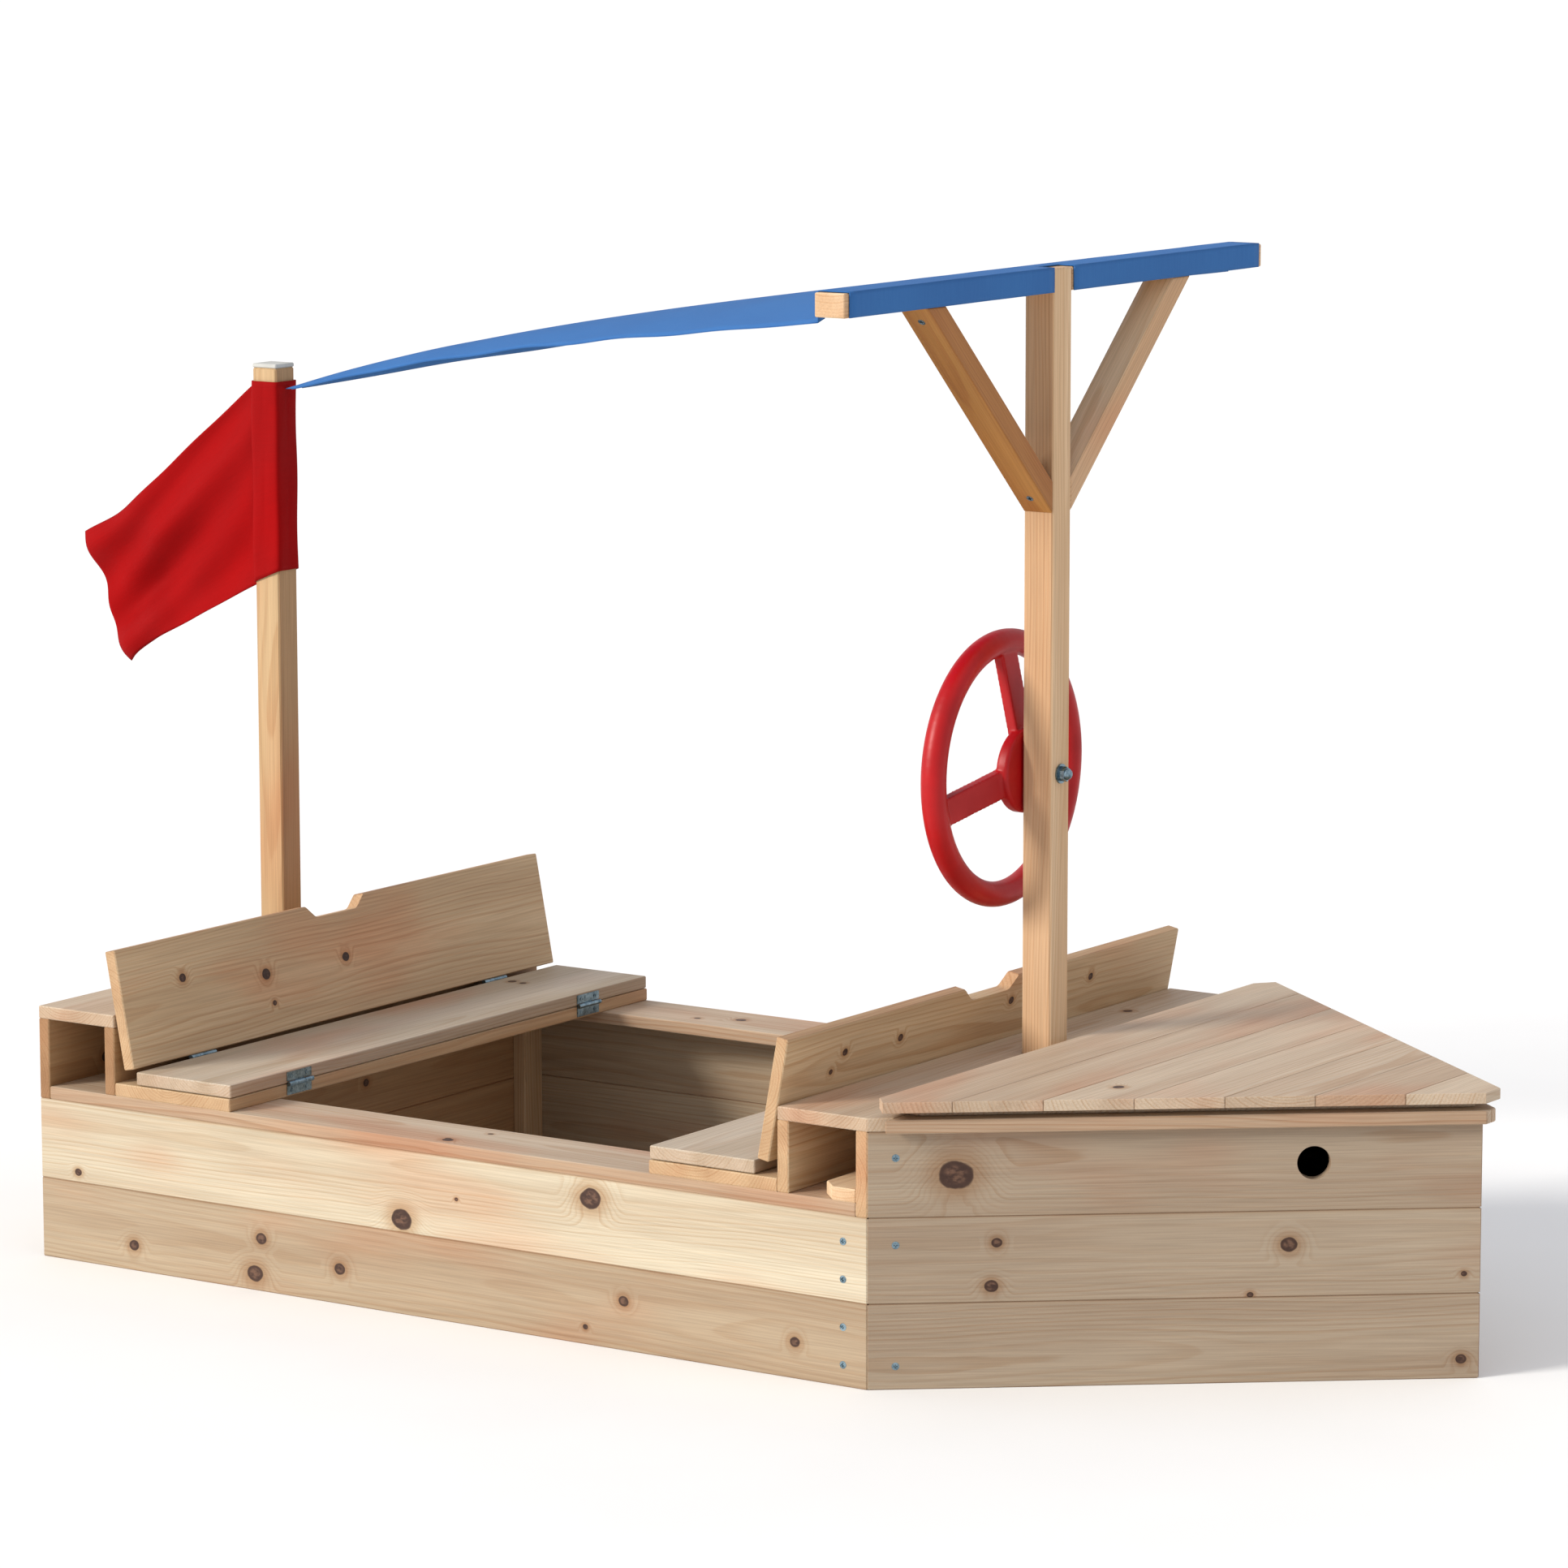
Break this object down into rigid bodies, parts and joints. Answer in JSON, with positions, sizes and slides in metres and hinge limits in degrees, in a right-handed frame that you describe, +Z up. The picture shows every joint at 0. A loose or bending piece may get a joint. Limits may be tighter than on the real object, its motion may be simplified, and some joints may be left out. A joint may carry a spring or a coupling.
{
  "type": "boat-shaped sandbox with folding cover",
  "caption": "Wooden boat-shaped sandbox with two folding bench covers, a hinged bow locker lid, a mast with a play steering wheel, a triangular sun sail and a flag.",
  "frame": {"origin": "centre of the overall box, on the ground", "axes": "+X to the bow, +Y to port, +Z up"},
  "size_m": [1.9824, 0.873, 1.1866],
  "materials": {
    "planed_timber": "planed, clear oiled",
    "zinc_plated_steel": "bright zinc plate",
    "blue_sailcloth": "woven polyester",
    "red_flag_cloth": "woven polyester",
    "red_plastic": "moulded, satin gloss",
    "grey_plastic": "moulded"
  },
  "bodies": {
    "hull": {"hull_screws": "zinc_plated_steel", "side_plank_starboard_lower": "planed_timber", "side_plank_port_lower": "planed_timber", "stern_plank_lower": "planed_timber", "pit_stern_wall_lower": "planed_timber", "bulkhead_plank_lower": "planed_timber", "side_plank_starboard_upper": "planed_timber", "side_plank_port_upper": "planed_timber", "stern_plank_upper": "planed_timber", "pit_stern_wall_upper": "planed_timber", "bulkhead_plank_upper": "planed_timber", "bow_plank_starboard_lower": "planed_timber", "bow_plank_port_lower": "planed_timber", "bow_plank_starboard_upper": "planed_timber", "bow_plank_port_upper": "planed_timber", "bow_plank_starboard_top": "planed_timber", "bow_plank_port_top": "planed_timber", "hull_corner_posts": "planed_timber", "bow_corner_posts": "planed_timber", "bow_tip_post": "planed_timber", "ledge_starboard": "planed_timber", "ledge_port": "planed_timber", "stern_box_rear_board": "planed_timber", "stern_box_inner_board": "planed_timber", "stern_box_top_board": "planed_timber", "bulkhead_top_board": "planed_timber", "fore_box_inner_board": "planed_timber", "fore_box_top_board": "planed_timber", "mast_foot_plank": "planed_timber", "stern_bench_fixed_board": "planed_timber", "bow_bench_fixed_board": "planed_timber", "rim_board_starboard": "planed_timber", "rim_board_port": "planed_timber", "hull_hinge_halves": "zinc_plated_steel", "mast": "planed_timber", "roof_beam": "planed_timber", "brace_port": "planed_timber", "brace_starboard": "planed_timber", "brace_screws": "zinc_plated_steel", "flagpole": "planed_timber", "flagpole_cap": "grey_plastic", "canopy": "blue_sailcloth", "flag": "red_flag_cloth", "wheel_bolt": "zinc_plated_steel", "wheel_washers": "zinc_plated_steel", "wheel_dome_nut": "zinc_plated_steel"},
    "stern_seat": {"stern_seat_board": "planed_timber", "stern_seat_hinge_halves": "zinc_plated_steel"},
    "stern_back": {"stern_back_board": "planed_timber", "stern_back_hinge_halves": "zinc_plated_steel"},
    "bow_seat": {"bow_seat_board": "planed_timber", "bow_seat_hinge_halves": "zinc_plated_steel"},
    "bow_back": {"bow_back_board": "planed_timber", "bow_back_hinge_halves": "zinc_plated_steel"},
    "lid": {"lid_planks": "planed_timber", "lid_battens": "planed_timber", "lid_hinge_halves": "zinc_plated_steel"},
    "wheel": {"steering_wheel": "red_plastic"}
  },
  "joints": [
    {"name": "stern_seat_fold", "type": "hinge", "parent": "hull", "child": "stern_seat", "pos_m": [-0.42095, 0, 0.22075], "axis": [0, 1, 0], "range_deg": [0, 180]},
    {"name": "stern_back_fold", "type": "hinge", "parent": "stern_seat", "child": "stern_back", "pos_m": [-0.56655, 0, 0.236], "axis": [0, 1, 0], "range_deg": [-79.2, 0]},
    {"name": "bow_seat_fold", "type": "hinge", "parent": "hull", "child": "bow_seat", "pos_m": [0.16345, 0, 0.22075], "axis": [0, -1, 0], "range_deg": [0, 180]},
    {"name": "bow_back_fold", "type": "hinge", "parent": "bow_seat", "child": "bow_back", "pos_m": [0.30905, 0, 0.236], "axis": [0, -1, 0], "range_deg": [-79.2, 0]},
    {"name": "lid_hinge", "type": "hinge", "parent": "hull", "child": "lid", "pos_m": [0.45745, 0, 0.3028], "axis": [0, -1, 0], "range_deg": [0, 80]},
    {"name": "wheel_spin", "type": "hinge", "parent": "hull", "child": "wheel", "pos_m": [0.36265, 0, 0.62], "axis": [1, 0, 0], "continuous": true}
  ],
  "couplings": [
    {"joint": "stern_back_fold", "follows": "stern_seat_fold", "ratio": -0.43996},
    {"joint": "bow_back_fold", "follows": "bow_seat_fold", "ratio": -0.43996}
  ]
}
